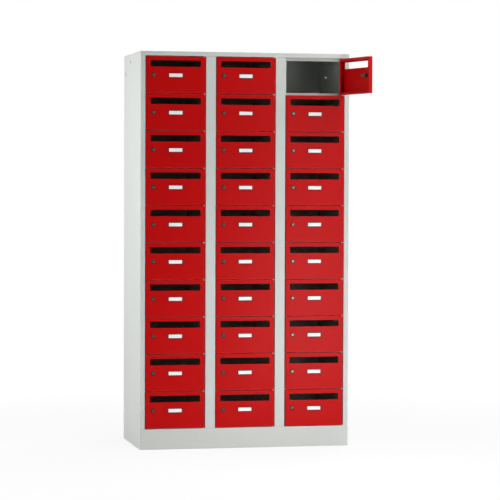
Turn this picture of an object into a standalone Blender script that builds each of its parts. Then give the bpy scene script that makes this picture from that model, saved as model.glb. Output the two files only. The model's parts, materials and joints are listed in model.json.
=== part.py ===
"""Mail distribution cabinet: three columns of ten hinged doors in a folded sheet-steel carcass.

Metres, +Z up. The origin is the middle of the footprint on the floor, and the doors face -Y.
Each door's origin is on its hinge axis, and each lock's origin is on its own axis.
"""

import math

import bmesh
import bpy
from mathutils import Matrix

# Whole cabinet
HEIGHT = 1.850
WIDTH = 0.996
DEPTH = 0.485
COLUMNS = ("left", "middle", "right")
ROWS = 10

# Carcass
SHEET = 0.001
BASE_HEIGHT = 0.095
TOP_RAIL_HEIGHT = 0.0204
SIDE_STILE_WIDTH = 0.0225
MIDDLE_STILE_WIDTH = 0.0465
STOP_LIP_WIDTH = 0.008
REAR_FLANGE_WIDTH = 0.020
BASE_FLANGE_WIDTH = 0.025
CROSS_RAIL_WIDTH = 0.060

# Shelves
SHELF_RISE = 0.0095
SHELF_FRONT_HEIGHT = 0.0225
SHELF_REAR_HEIGHT = 0.018
TONGUE_SETBACK = 0.040
TONGUE_REACH = 0.010
TONGUE_REAR_CUT = 0.005

# Doors and their hinges
DOOR_SHEET = 0.001
DOOR_DEPTH = 0.018
DOOR_GAP = 0.0030
DOOR_SIDE_GAP = 0.0036
DOOR_STOP_GAP = 0.002
OPEN_DOOR = ("right", 1)
OPEN_ANGLE = math.radians(104.5)
PIVOT_FROM_EDGE = 0.005
PIVOT_FROM_FRONT = 0.0045
PIN_RADIUS = 0.002
PIN_REACH = 0.003
PIN_SIDES = 6
TAB_THICKNESS = 0.0024
TAB_MARGIN = 0.0015

# Mail slot and name-card holder
SLOT_HEIGHT = 0.0297
SLOT_FROM_TOP = 0.0185
SLOT_SIDE_MARGIN = 0.0215
CARD_WIDTH = 0.0626
CARD_HEIGHT = 0.0164
CARD_RECESS = 0.0006
HOLDER_BORDER = 0.0030
HOLDER_THICKNESS = 0.0015
HOLDER_BELOW_MIDDLE = 0.0024

# Cam locks
LOCKED_COLUMN = "right"
LOCK_FROM_EDGE = 0.035
LOCK_BELOW_MIDDLE = 0.0015
LOCK_SIDES = 10
BEZEL_RADIUS = 0.010
BEZEL_HEIGHT = 0.002
BARREL_RADIUS = 0.0085
NUT_RADIUS = 0.0125
NUT_HEIGHT = 0.004
NUT_SIDES = 6
PLUG_RADIUS = 0.005
PLUG_HEAD_RADIUS = 0.0068
PLUG_HEAD_HEIGHT = 0.0012
KEYWAY_WIDTH = 0.0012
KEYWAY_LENGTH = 0.007
KEYWAY_DEPTH = 0.0007
CAM_CLEARANCE = 0.0005
CAM_THICKNESS = 0.002
CAM_OVERLAP = 0.005
CAM_HUB_RADIUS = 0.0085
CAM_TIP_WIDTH = 0.009
CAM_HUB_POINTS = 7
CAM_HUB_ARC = math.radians(240)
SCREW_RADIUS = 0.004
SCREW_HEIGHT = 0.003

# Running and fitting gap between neighbours, and how far a cutter passes its piece
CLEARANCE = 0.0003
OVERCUT = 0.001

# Places that follow from the sizes above
FRONT = -DEPTH / 2
REAR = DEPTH / 2
LEFT = -WIDTH / 2
RIGHT = WIDTH / 2
INNER_REAR = REAR - 2 * SHEET - 2 * CLEARANCE
CARCASS_TOP = HEIGHT - SHEET - 2 * CLEARANCE
RAIL_BOTTOM = HEIGHT - TOP_RAIL_HEIGHT
ROW_PITCH = (RAIL_BOTTOM - BASE_HEIGHT - DOOR_GAP) / ROWS
COLUMN_COUNT = len(COLUMNS)
STILE_TOTAL = 2 * SIDE_STILE_WIDTH + (COLUMN_COUNT - 1) * MIDDLE_STILE_WIDTH
OPENING_WIDTH = (WIDTH - STILE_TOTAL) / COLUMN_COUNT
COLUMN_PITCH = OPENING_WIDTH + MIDDLE_STILE_WIDTH
OPENING_LEFT = [LEFT + SIDE_STILE_WIDTH + i * COLUMN_PITCH for i in range(COLUMN_COUNT)]
OPENING_RIGHT = [x + OPENING_WIDTH for x in OPENING_LEFT]
GAP_LINES = [BASE_HEIGHT + DOOR_GAP / 2 + i * ROW_PITCH for i in range(ROWS + 1)]
FLOOR_TOP = GAP_LINES[0] + SHELF_RISE
STOP_FRONT = FRONT + DOOR_DEPTH + DOOR_STOP_GAP
STOP_REAR = STOP_FRONT + SHEET
TONGUE_FRONT = FRONT + TONGUE_SETBACK
TONGUE_REAR = INNER_REAR - SHEET - TONGUE_REAR_CUT
RAIL_REAR = FRONT + SHEET + CLEARANCE

DOOR_WIDTH = OPENING_WIDTH - 2 * DOOR_SIDE_GAP
DOOR_HEIGHT = ROW_PITCH - DOOR_GAP
PIVOT_FROM_JAMB = DOOR_SIDE_GAP + PIVOT_FROM_EDGE
PIVOT_Y = FRONT + PIVOT_FROM_FRONT
PIN_HALF_LENGTH = DOOR_GAP / 2 + DOOR_SHEET + PIN_REACH

# Door sizes measured from its hinge axis and its middle height
DOOR_RIGHT = PIVOT_FROM_EDGE
DOOR_LEFT = DOOR_RIGHT - DOOR_WIDTH
DOOR_FRONT = -PIVOT_FROM_FRONT
DOOR_REAR = DOOR_FRONT + DOOR_DEPTH
DOOR_TOP = DOOR_HEIGHT / 2
LOCK_X = DOOR_LEFT + LOCK_FROM_EDGE

# Lock sizes measured back from the door's front face
CAM_FRONT = STOP_REAR - FRONT + CAM_CLEARANCE
CAM_REAR = CAM_FRONT + CAM_THICKNESS
BARREL_END = CAM_FRONT - CLEARANCE
CAM_LENGTH = DOOR_SIDE_GAP + LOCK_FROM_EDGE - STOP_LIP_WIDTH + CAM_OVERLAP
PLUG_HEAD_REAR = -BEZEL_HEIGHT - CLEARANCE
PLUG_HEAD_FRONT = PLUG_HEAD_REAR - PLUG_HEAD_HEIGHT

# How a flat outline's two directions and its extrusion lie along X, Y and Z
PLANES = {
    "XY": Matrix.Identity(4),
    "YZ": Matrix(((0, 0, 1, 0), (1, 0, 0, 0), (0, 1, 0, 0), (0, 0, 0, 1))),
    "XZ": Matrix(((1, 0, 0, 0), (0, 0, 1, 0), (0, 1, 0, 0), (0, 0, 0, 1))),
}
SHARP_ANGLE = math.radians(35)
WELD_DISTANCE = 1e-6


def new_collection(name):
    """A collection linked to the scene."""
    collection = bpy.data.collections.new(name)
    bpy.context.scene.collection.children.link(collection)
    return collection


def clear_scene():
    """Remove every object of the scene."""
    for item in list(bpy.data.objects):
        bpy.data.objects.remove(item)


clear_scene()
PARTS = new_collection("mail_distribution_cabinet")
TOOLS = new_collection("cutters")


def make_material(name, colour, roughness, metallic):
    """A plain finish."""
    material = bpy.data.materials.new(name)
    material.use_nodes = True
    shader = material.node_tree.nodes["Principled BSDF"]
    shader.inputs["Base Color"].default_value = (*colour, 1.0)
    shader.inputs["Roughness"].default_value = roughness
    shader.inputs["Metallic"].default_value = metallic
    return material


RED_PAINT = make_material("red_paint", (0.45, 0.003, 0.005), 0.40, 0.0)
GREY_PAINT = make_material("light_grey_paint", (0.62, 0.65, 0.62), 0.45, 0.0)
LOCK_STEEL = make_material("lock_steel", (0.55, 0.55, 0.54), 0.35, 1.0)


def tool_object(name, mesh):
    """An object that only cuts or joins, and doesn't render."""
    tool = bpy.data.objects.new(name, mesh)
    tool.hide_render = True
    tool.display_type = "WIRE"
    TOOLS.objects.link(tool)
    return tool


def mesh_from(name, bm):
    """Finish a bmesh as mesh data with its faces pointing out."""
    bmesh.ops.recalc_face_normals(bm, faces=bm.faces)
    mesh = bpy.data.meshes.new(name)
    bm.to_mesh(mesh)
    bm.free()
    return mesh


def boxes(name, corner_pairs):
    """Boxes that don't touch each other, each from its low corner to its high corner."""
    bm = bmesh.new()
    for low, high in corner_pairs:
        centre = [(a + b) / 2 for a, b in zip(low, high)]
        size = [b - a for a, b in zip(low, high)]
        place = Matrix.Translation(centre) @ Matrix.Diagonal((*size, 1))
        bmesh.ops.create_cube(bm, size=1, matrix=place)
    return tool_object(name, mesh_from(name, bm))


def cylinder(name, radius, spans, axis, centre, sides):
    """Straight round bars on one axis, each from its start to its end along that axis.

    The centre gives the other two coordinates: x and y for a bar along Z, x and z along Y.
    """
    bm = bmesh.new()
    for start, end in spans:
        middle = (start + end) / 2
        if axis == "Z":
            place = Matrix.Translation((centre[0], centre[1], middle))
        else:
            place = Matrix.Translation((centre[0], middle, centre[1])) @ Matrix.Rotation(math.pi / 2, 4, "X")
        bmesh.ops.create_cone(
            bm,
            cap_ends=True,
            segments=sides,
            radius1=radius,
            radius2=radius,
            depth=end - start,
            matrix=place,
        )
    return tool_object(name, mesh_from(name, bm))


def round_hole_radius(radius, sides):
    """Corner radius of a faceted hole whose flats stay clear of a round bar of the given radius."""
    return (radius + CLEARANCE) / math.cos(math.pi / sides)


def evaluated_mesh(item):
    """The item's mesh with its modifiers applied."""
    depsgraph = bpy.context.evaluated_depsgraph_get()
    return bpy.data.meshes.new_from_object(item.evaluated_get(depsgraph))


def extruded(name, outline, start, end, plane):
    """A closed flat outline carried square to its plane, from start to end."""
    curve = bpy.data.curves.new(name, "CURVE")
    curve.dimensions = "2D"
    curve.fill_mode = "BOTH"
    curve.extrude = (end - start) / 2
    spline = curve.splines.new("POLY")
    spline.points.add(len(outline) - 1)
    for point, (u, v) in zip(spline.points, outline):
        point.co = (u, v, 0, 1)
    spline.use_cyclic_u = True
    holder = tool_object(name, curve)
    mesh = evaluated_mesh(holder)
    bpy.data.objects.remove(holder)
    bm = bmesh.new()
    bm.from_mesh(mesh)
    bpy.data.meshes.remove(mesh)
    bmesh.ops.remove_doubles(bm, verts=bm.verts, dist=WELD_DISTANCE)
    bm.transform(PLANES[plane] @ Matrix.Translation((0, 0, (start + end) / 2)))
    return tool_object(name, mesh_from(name, bm))


def folded_outline(fold_line, thickness):
    """Outline of a folded sheet: along the fold line, then back on its left side, one thickness away."""
    normals = []
    for (u0, v0), (u1, v1) in zip(fold_line, fold_line[1:]):
        length = math.hypot(u1 - u0, v1 - v0)
        normals.append(((v0 - v1) / length, (u1 - u0) / length))
    inner = []
    for i, (u, v) in enumerate(fold_line):
        before = normals[max(i - 1, 0)]
        after = normals[min(i, len(normals) - 1)]
        share = thickness / (1 + before[0] * after[0] + before[1] * after[1])
        inner.append((u + share * (before[0] + after[0]), v + share * (before[1] + after[1])))
    return fold_line + inner[::-1]


def folded_sheet(name, fold_line, start, end, plane):
    """A carcass sheet folded along a line of corners."""
    return extruded(name, folded_outline(fold_line, SHEET), start, end, plane)


def combine(target, tool, operation):
    """Cut or join the target with the tool, then remove the tool."""
    modifier = target.modifiers.new(operation, "BOOLEAN")
    modifier.operation = operation
    modifier.solver = "EXACT"
    modifier.object = tool
    target.data = evaluated_mesh(target)
    target.modifiers.clear()
    bpy.data.objects.remove(tool)


def cut(target, tool):
    """Take the tool's volume away from the target."""
    combine(target, tool, "DIFFERENCE")


def join(target, tool):
    """Add the tool's volume to the target."""
    combine(target, tool, "UNION")


def finished_mesh(tool, material):
    """The tool's mesh as a finished piece: painted, and smooth on its round faces."""
    mesh = tool.data
    bpy.data.objects.remove(tool)
    mesh.materials.clear()
    mesh.materials.append(material)
    mesh.shade_smooth()
    mesh.set_sharp_from_angle(angle=SHARP_ANGLE)
    return mesh


def place_part(name, mesh, location=(0, 0, 0), turn=0.0):
    """A named sub-part, turned about its own upright axis."""
    part = bpy.data.objects.new(name, mesh)
    part.location = location
    part.rotation_euler = (0, 0, turn)
    PARTS.objects.link(part)
    return part


def shelf_tops():
    """Heights of the shelves' upper faces, from the top shelf down."""
    return [line + SHELF_RISE for line in reversed(GAP_LINES[1:-1])]


def cut_top_corner(target):
    """Let the sheet pass behind the top rail."""
    low = (LEFT - OVERCUT, FRONT - OVERCUT, RAIL_BOTTOM - CLEARANCE)
    high = (RIGHT + OVERCUT, RAIL_REAR + CLEARANCE, HEIGHT + OVERCUT)
    cut(target, boxes("top_corner", [(low, high)]))


def cut_foot(target, wall_left, wall_right):
    """Stand a wall on the floor of the lowest compartments."""
    low = (wall_left, STOP_FRONT - CLEARANCE, -OVERCUT)
    high = (wall_right, INNER_REAR + OVERCUT, FLOOR_TOP + CLEARANCE)
    cut(target, boxes("wall_foot", [(low, high)]))


def cut_shelf_slots(target, wall_left, wall_right):
    """Slots, open at the rear, that carry the shelves' tongues."""
    slots = []
    for top in shelf_tops():
        low = (wall_left, TONGUE_FRONT - CLEARANCE, top - SHEET - CLEARANCE)
        high = (wall_right, INNER_REAR + OVERCUT, top + CLEARANCE)
        slots.append((low, high))
    cut(target, boxes("shelf_slots", slots))


def add_stop_lip(target, jamb):
    """The full-height lip behind the doors' free edges, where the cams catch."""
    low = (jamb - SHEET / 2, STOP_FRONT, BASE_HEIGHT + 2 * CLEARANCE)
    high = (jamb + STOP_LIP_WIDTH, STOP_REAR, CARCASS_TOP - CLEARANCE)
    join(target, boxes("stop_lip", [(low, high)]))


def add_hinge_tabs(target, jamb):
    """A tab in each gap between doors, with a pin up into one door and down into the next."""
    pivot_x = jamb - PIVOT_FROM_JAMB
    tabs = []
    pins = []
    for line in GAP_LINES:
        low = (pivot_x - PIN_RADIUS - TAB_MARGIN, FRONT + CLEARANCE, line - TAB_THICKNESS / 2)
        high = (jamb + SHEET / 2, PIVOT_Y + PIN_RADIUS + TAB_MARGIN, line + TAB_THICKNESS / 2)
        tabs.append((low, high))
        start = line if line == GAP_LINES[0] else line - PIN_HALF_LENGTH
        end = line if line == GAP_LINES[-1] else line + PIN_HALF_LENGTH
        pins.append((start, end))
    join(target, boxes("hinge_tabs", tabs))
    join(target, cylinder("hinge_pins", PIN_RADIUS, pins, "Z", (pivot_x, PIVOT_Y), PIN_SIDES))


def cut_base_corner(casing, inner_left, inner_right):
    """Let the kick plate pass in front of the casing, and end its inner wall at the ledge."""
    front_low = (LEFT - OVERCUT, FRONT - OVERCUT, -OVERCUT)
    front_high = (RIGHT + OVERCUT, RAIL_REAR + CLEARANCE, BASE_HEIGHT + CLEARANCE)
    cut(casing, boxes("kick_plate_corner", [(front_low, front_high)]))
    wall_low = (inner_left, FRONT, -OVERCUT)
    wall_high = (inner_right, INNER_REAR + OVERCUT, BASE_HEIGHT + CLEARANCE)
    cut(casing, boxes("inner_wall_end", [(wall_low, wall_high)]))


def build_left_casing():
    """Side sheet, stile and inner wall in one fold, with the stop lip of the first column."""
    jamb = OPENING_LEFT[0]
    fold_line = [
        (LEFT + REAR_FLANGE_WIDTH, REAR),
        (LEFT, REAR),
        (LEFT, FRONT),
        (jamb, FRONT),
        (jamb, INNER_REAR),
    ]
    casing = folded_sheet("left_casing", fold_line, 0, CARCASS_TOP, "XY")
    add_stop_lip(casing, jamb)
    wall = (jamb - SHEET - CLEARANCE, jamb + STOP_LIP_WIDTH + CLEARANCE)
    cut_top_corner(casing)
    cut_base_corner(casing, *wall)
    cut_foot(casing, *wall)
    cut_shelf_slots(casing, *wall)
    place_part("left_casing", finished_mesh(casing, GREY_PAINT))


def build_right_casing():
    """Side sheet, stile and inner wall in one fold, with the hinge tabs of the last column."""
    jamb = OPENING_RIGHT[-1]
    fold_line = [
        (jamb, INNER_REAR),
        (jamb, FRONT),
        (RIGHT, FRONT),
        (RIGHT, REAR),
        (RIGHT - REAR_FLANGE_WIDTH, REAR),
    ]
    casing = folded_sheet("right_casing", fold_line, 0, CARCASS_TOP, "XY")
    wall = (jamb - CLEARANCE, jamb + SHEET + CLEARANCE)
    cut_top_corner(casing)
    cut_base_corner(casing, *wall)
    cut_foot(casing, *wall)
    cut_shelf_slots(casing, *wall)
    add_hinge_tabs(casing, jamb)
    place_part("right_casing", finished_mesh(casing, GREY_PAINT))


def build_partition(index):
    """Stile and two walls between neighbouring columns: hinges on its left, stop lip on its right."""
    hinge_jamb = OPENING_RIGHT[index]
    stop_jamb = OPENING_LEFT[index + 1]
    name = f"partition_{COLUMNS[index]}_{COLUMNS[index + 1]}"
    fold_line = [
        (hinge_jamb, INNER_REAR),
        (hinge_jamb, FRONT),
        (stop_jamb, FRONT),
        (stop_jamb, INNER_REAR),
    ]
    partition = folded_sheet(name, fold_line, BASE_HEIGHT + CLEARANCE, CARCASS_TOP, "XY")
    add_stop_lip(partition, stop_jamb)
    walls = (hinge_jamb - CLEARANCE, stop_jamb + STOP_LIP_WIDTH + CLEARANCE)
    cut_top_corner(partition)
    cut_foot(partition, *walls)
    cut_shelf_slots(partition, *walls)
    add_hinge_tabs(partition, hinge_jamb)
    place_part(name, finished_mesh(partition, GREY_PAINT))


def wall_zones(edge):
    """Where each wall, with its clearance, crosses a full-width sheet that ends at plus and minus edge."""
    starts = [-edge - OVERCUT] + [x - CLEARANCE for x in OPENING_RIGHT]
    ends = [x + CLEARANCE for x in OPENING_LEFT] + [edge + OVERCUT]
    return list(zip(starts, ends))


def build_shelves():
    """Full-width shelves, turned down at the front and up at the rear, with tongues through the walls."""
    edge = RIGHT - SIDE_STILE_WIDTH + TONGUE_REACH
    fold_line = [
        (INNER_REAR - SHEET, SHELF_REAR_HEIGHT),
        (INNER_REAR - SHEET, 0),
        (STOP_FRONT, 0),
        (STOP_FRONT, -SHELF_FRONT_HEIGHT),
    ]
    shelf = folded_sheet("shelf", fold_line, -edge, edge, "YZ")
    bottom = -SHELF_FRONT_HEIGHT - OVERCUT
    top = SHELF_REAR_HEIGHT + OVERCUT
    wall_notches = []
    for start, end in wall_zones(edge):
        wall_notches.append(((start, FRONT, bottom), (end, TONGUE_FRONT, top)))
        wall_notches.append(((start, TONGUE_REAR, bottom), (end, REAR, top)))
    cut(shelf, boxes("wall_notches", wall_notches))
    lip_notches = []
    for jamb in OPENING_LEFT:
        low = (jamb - CLEARANCE, FRONT, bottom)
        high = (jamb + STOP_LIP_WIDTH + CLEARANCE, STOP_REAR + CLEARANCE, top)
        lip_notches.append((low, high))
    cut(shelf, boxes("lip_notches", lip_notches))
    mesh = finished_mesh(shelf, GREY_PAINT)
    for number, height in enumerate(shelf_tops(), start=1):
        place_part(f"shelf_{number}", mesh, (0, 0, height))


def build_top_panel():
    """Lid with a rear flange, the front rail, and a lip above the doors in each column."""
    lip_bottom = GAP_LINES[-1] + SHELF_RISE - SHELF_FRONT_HEIGHT
    fold_line = [
        (REAR, HEIGHT - REAR_FLANGE_WIDTH),
        (REAR, HEIGHT),
        (FRONT, HEIGHT),
        (FRONT, RAIL_BOTTOM),
        (STOP_FRONT, RAIL_BOTTOM),
        (STOP_FRONT, lip_bottom),
    ]
    panel = folded_sheet("top_panel", fold_line, LEFT, RIGHT, "YZ")
    under_lid = HEIGHT - SHEET - CLEARANCE
    notches = []
    for index, (start, end) in enumerate(wall_zones(RIGHT)):
        lip = STOP_LIP_WIDTH if index < COLUMN_COUNT else 0
        low = (start, RAIL_REAR, lip_bottom - OVERCUT)
        high = (end + lip, STOP_REAR + OVERCUT, under_lid)
        notches.append((low, high))
    for start, end in (
        (LEFT - OVERCUT, LEFT + REAR_FLANGE_WIDTH + CLEARANCE),
        (RIGHT - REAR_FLANGE_WIDTH - CLEARANCE, RIGHT + OVERCUT),
    ):
        low = (start, REAR - SHEET - CLEARANCE, HEIGHT - REAR_FLANGE_WIDTH - OVERCUT)
        notches.append((low, (end, REAR + OVERCUT, under_lid)))
    cut(panel, boxes("top_notches", notches))
    place_part("top_panel", finished_mesh(panel, GREY_PAINT))


def build_base_panel():
    """Floor of the lowest compartments, its lip and ledge, and the kick plate with its floor flange."""
    fold_line = [
        (INNER_REAR, FLOOR_TOP),
        (STOP_FRONT, FLOOR_TOP),
        (STOP_FRONT, BASE_HEIGHT),
        (FRONT, BASE_HEIGHT),
        (FRONT, 0),
        (FRONT + BASE_FLANGE_WIDTH, 0),
    ]
    panel = folded_sheet("base_panel", fold_line, LEFT, RIGHT, "YZ")
    ends = []
    for start, end in (
        (LEFT - OVERCUT, LEFT + SHEET + CLEARANCE),
        (RIGHT - SHEET - CLEARANCE, RIGHT + OVERCUT),
    ):
        ends.append(((start, RAIL_REAR, -OVERCUT), (end, REAR, FLOOR_TOP + OVERCUT)))
    cut(panel, boxes("panel_ends", ends))
    place_part("base_panel", finished_mesh(panel, GREY_PAINT))


def build_cross_rail():
    """A channel on the floor at mid depth that carries the base panel between the casings."""
    half = CROSS_RAIL_WIDTH / 2
    top = FLOOR_TOP - SHEET - CLEARANCE
    edge = RIGHT - SHEET - CLEARANCE
    fold_line = [(-half, top), (-half, 0), (half, 0), (half, top)]
    rail = folded_sheet("base_cross_rail", fold_line, -edge, edge, "YZ")
    place_part("base_cross_rail", finished_mesh(rail, GREY_PAINT))


def build_back_panel():
    """A flat sheet held between the rear flanges and the walls."""
    edge = RIGHT - SHEET - CLEARANCE
    rear = REAR - SHEET - CLEARANCE
    panel = boxes("back_panel", [((-edge, rear - SHEET, 0), (edge, rear, CARCASS_TOP))])
    place_part("back_panel", finished_mesh(panel, GREY_PAINT))


def cam_outline():
    """A round hub that tapers to a blunt tip towards +X."""
    step = CAM_HUB_ARC / (CAM_HUB_POINTS - 1)
    first = math.pi - CAM_HUB_ARC / 2
    angles = [first + i * step for i in range(CAM_HUB_POINTS)]
    hub = [(CAM_HUB_RADIUS * math.cos(a), CAM_HUB_RADIUS * math.sin(a)) for a in angles]
    return hub + [(CAM_LENGTH, -CAM_TIP_WIDTH / 2), (CAM_LENGTH, CAM_TIP_WIDTH / 2)]


def build_lock():
    """The turning part of a lock on the Y axis: plug with its head, cam and cam screw."""
    plug_span = (PLUG_HEAD_REAR - PLUG_HEAD_HEIGHT / 2, CAM_REAR - CAM_THICKNESS / 2)
    lock = cylinder("lock", PLUG_RADIUS, [plug_span], "Y", (0, 0), LOCK_SIDES)
    head = cylinder("head", PLUG_HEAD_RADIUS, [(PLUG_HEAD_FRONT, PLUG_HEAD_REAR)], "Y", (0, 0), LOCK_SIDES)
    join(lock, head)
    join(lock, extruded("cam", cam_outline(), CAM_FRONT, CAM_REAR, "XZ"))
    screw_span = (CAM_REAR - CAM_THICKNESS / 2, CAM_REAR + SCREW_HEIGHT)
    join(lock, cylinder("cam_screw", SCREW_RADIUS, [screw_span], "Y", (0, 0), NUT_SIDES))
    return lock


def cut_keyway(lock):
    """The key's slit in the plug's head."""
    low = (-KEYWAY_WIDTH / 2, PLUG_HEAD_FRONT - OVERCUT, -KEYWAY_LENGTH / 2)
    high = (KEYWAY_WIDTH / 2, PLUG_HEAD_FRONT + KEYWAY_DEPTH, KEYWAY_LENGTH / 2)
    cut(lock, boxes("keyway", [(low, high)]))


def build_door_pan():
    """A folded pan, open at the rear, with the mail slot and the holes for its hinge pins."""
    pan = boxes("door", [((DOOR_LEFT, DOOR_FRONT, -DOOR_TOP), (DOOR_RIGHT, DOOR_REAR, DOOR_TOP))])
    bm = bmesh.new()
    bm.from_mesh(pan.data)
    rear_faces = [face for face in bm.faces if face.normal.y > math.cos(SHARP_ANGLE)]
    bmesh.ops.delete(bm, geom=rear_faces, context="FACES_ONLY")
    bm.to_mesh(pan.data)
    bm.free()
    shell = pan.modifiers.new("sheet", "SOLIDIFY")
    shell.thickness = DOOR_SHEET
    shell.offset = -1
    shell.use_even_offset = True
    pan.data = evaluated_mesh(pan)
    pan.modifiers.clear()
    slot_top = DOOR_TOP - SLOT_FROM_TOP
    low = (DOOR_LEFT + SLOT_SIDE_MARGIN, DOOR_FRONT - OVERCUT, slot_top - SLOT_HEIGHT)
    high = (DOOR_RIGHT - SLOT_SIDE_MARGIN, DOOR_FRONT + DOOR_SHEET + OVERCUT, slot_top)
    cut(pan, boxes("mail_slot", [(low, high)]))
    reach = DOOR_TOP + OVERCUT
    hole_radius = round_hole_radius(PIN_RADIUS, PIN_SIDES)
    cut(pan, cylinder("pin_holes", hole_radius, [(-reach, reach)], "Z", (0, 0), PIN_SIDES))
    return pan


def add_card_holder(door):
    """A raised frame in the middle of the door with a shallow recess for the name card."""
    centre_x = (DOOR_LEFT + DOOR_RIGHT) / 2
    centre_z = -HOLDER_BELOW_MIDDLE
    half_width = CARD_WIDTH / 2
    half_height = CARD_HEIGHT / 2
    face = DOOR_FRONT - HOLDER_THICKNESS
    low = (centre_x - half_width - HOLDER_BORDER, face, centre_z - half_height - HOLDER_BORDER)
    high = (
        centre_x + half_width + HOLDER_BORDER,
        DOOR_FRONT + DOOR_SHEET / 2,
        centre_z + half_height + HOLDER_BORDER,
    )
    join(door, boxes("card_holder", [(low, high)]))
    low = (centre_x - half_width, face - OVERCUT, centre_z - half_height)
    high = (centre_x + half_width, face + CARD_RECESS, centre_z + half_height)
    cut(door, boxes("card_recess", [(low, high)]))


def add_lock_housing(door):
    """Bezel on the face, nut behind it, and the barrel that the plug turns in."""
    axis = (LOCK_X, -LOCK_BELOW_MIDDLE)
    inside = DOOR_FRONT + DOOR_SHEET / 2
    bezel_face = DOOR_FRONT - BEZEL_HEIGHT
    join(door, cylinder("bezel", BEZEL_RADIUS, [(bezel_face, inside)], "Y", axis, LOCK_SIDES))
    nut_span = (inside, DOOR_FRONT + DOOR_SHEET + NUT_HEIGHT)
    join(door, cylinder("nut", NUT_RADIUS, [nut_span], "Y", axis, NUT_SIDES))
    barrel_span = (DOOR_FRONT - BEZEL_HEIGHT / 2, DOOR_FRONT + BARREL_END)
    join(door, cylinder("barrel", BARREL_RADIUS, [barrel_span], "Y", axis, LOCK_SIDES))


def cut_lock_bore(door):
    """The bore that the plug turns in."""
    bore_radius = round_hole_radius(PLUG_RADIUS, LOCK_SIDES)
    span = (DOOR_FRONT - BEZEL_HEIGHT - OVERCUT, DOOR_FRONT + BARREL_END + OVERCUT)
    cut(door, cylinder("bore", bore_radius, [span], "Y", (LOCK_X, -LOCK_BELOW_MIDDLE), LOCK_SIDES))


def build_doors():
    """All doors. One column has turning locks, and in the others the lock is one piece with its door."""
    plain = build_door_pan()
    add_card_holder(plain)
    add_lock_housing(plain)
    bored = tool_object("door_with_bore", plain.data.copy())
    cut_lock_bore(bored)
    lock = build_lock()
    lock_place = (LOCK_X, DOOR_FRONT, -LOCK_BELOW_MIDDLE)
    fixed_lock = tool_object("fixed_lock", lock.data.copy())
    fixed_lock.location = lock_place
    join(plain, fixed_lock)
    cut_keyway(lock)
    fixed_mesh = finished_mesh(plain, RED_PAINT)
    bored_mesh = finished_mesh(bored, RED_PAINT)
    lock_mesh = finished_mesh(lock, LOCK_STEEL)
    for column, jamb in zip(COLUMNS, OPENING_RIGHT):
        for row in range(1, ROWS + 1):
            centre_z = GAP_LINES[ROWS - row] + ROW_PITCH / 2
            place = (jamb - PIVOT_FROM_JAMB, PIVOT_Y, centre_z)
            turn = OPEN_ANGLE if (column, row) == OPEN_DOOR else 0.0
            turning = column == LOCKED_COLUMN
            mesh = bored_mesh if turning else fixed_mesh
            door = place_part(f"door_{column}_{row:02d}", mesh, place, turn)
            if turning:
                lock_part = place_part(f"lock_{column}_{row:02d}", lock_mesh, lock_place)
                lock_part.parent = door


build_left_casing()
build_right_casing()
for partition_index in range(COLUMN_COUNT - 1):
    build_partition(partition_index)
build_shelves()
build_top_panel()
build_base_panel()
build_cross_rail()
build_back_panel()
build_doors()
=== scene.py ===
import json
import math

import bpy
import numpy as np
from mathutils import Matrix, Vector


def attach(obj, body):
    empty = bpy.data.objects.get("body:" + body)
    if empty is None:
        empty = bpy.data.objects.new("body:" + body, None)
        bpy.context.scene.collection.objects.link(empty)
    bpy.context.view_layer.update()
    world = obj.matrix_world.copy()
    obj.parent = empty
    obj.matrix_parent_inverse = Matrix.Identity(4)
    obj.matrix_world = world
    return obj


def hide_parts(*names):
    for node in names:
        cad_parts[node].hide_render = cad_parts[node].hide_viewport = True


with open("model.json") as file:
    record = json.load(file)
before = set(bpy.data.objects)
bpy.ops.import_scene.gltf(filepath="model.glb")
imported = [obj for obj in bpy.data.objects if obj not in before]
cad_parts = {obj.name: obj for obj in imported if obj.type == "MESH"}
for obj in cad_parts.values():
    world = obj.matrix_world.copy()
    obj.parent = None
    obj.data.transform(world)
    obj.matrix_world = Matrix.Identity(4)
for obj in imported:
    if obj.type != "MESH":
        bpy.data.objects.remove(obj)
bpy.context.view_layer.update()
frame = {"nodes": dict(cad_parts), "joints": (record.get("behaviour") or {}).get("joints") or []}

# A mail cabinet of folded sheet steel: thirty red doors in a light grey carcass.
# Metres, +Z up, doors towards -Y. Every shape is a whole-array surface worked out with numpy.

# Carcass
HEIGHT = 1.850
WIDTH = 0.996
DEPTH = 0.485
COLUMNS = ("left", "middle", "right")
ROWS = 10
SHEET = 0.001
BASE_HEIGHT = 0.095
TOP_RAIL_HEIGHT = 0.0204
SIDE_STILE_WIDTH = 0.0225
MIDDLE_STILE_WIDTH = 0.0465
STOP_LIP_WIDTH = 0.008
REAR_FLANGE_WIDTH = 0.020
BASE_FLANGE_WIDTH = 0.025
CROSS_RAIL_WIDTH = 0.060
BEND_RADIUS = 0.0013
BEND_STEPS = 5

# Shelves
SHELF_RISE = 0.0095
SHELF_FRONT_HEIGHT = 0.0225
SHELF_REAR_HEIGHT = 0.018
TONGUE_SETBACK = 0.040
TONGUE_REACH = 0.010
TONGUE_REAR_CUT = 0.005

# Doors and hinges
DOOR_DEPTH = 0.018
DOOR_GAP = 0.0030
DOOR_SIDE_GAP = 0.0036
DOOR_STOP_GAP = 0.002
DOOR_BEND_RADIUS = 0.0012
DOOR_CORNER_RADIUS = 0.0017
RETURN_WIDTH = 0.012
PIVOT_FROM_EDGE = 0.005
PIVOT_FROM_FRONT = 0.0045
PIN_RADIUS = 0.002
PIN_REACH = 0.003
PIN_CHAMFER = 0.0004
PIN_END_SHARE = 0.6
PIN_SIDES = 16
PIN_HOLE_HALF = 0.0023
TAB_THICKNESS = 0.0024
TAB_MARGIN = 0.0015
TAB_CORNER_RADIUS = 0.0025

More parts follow.
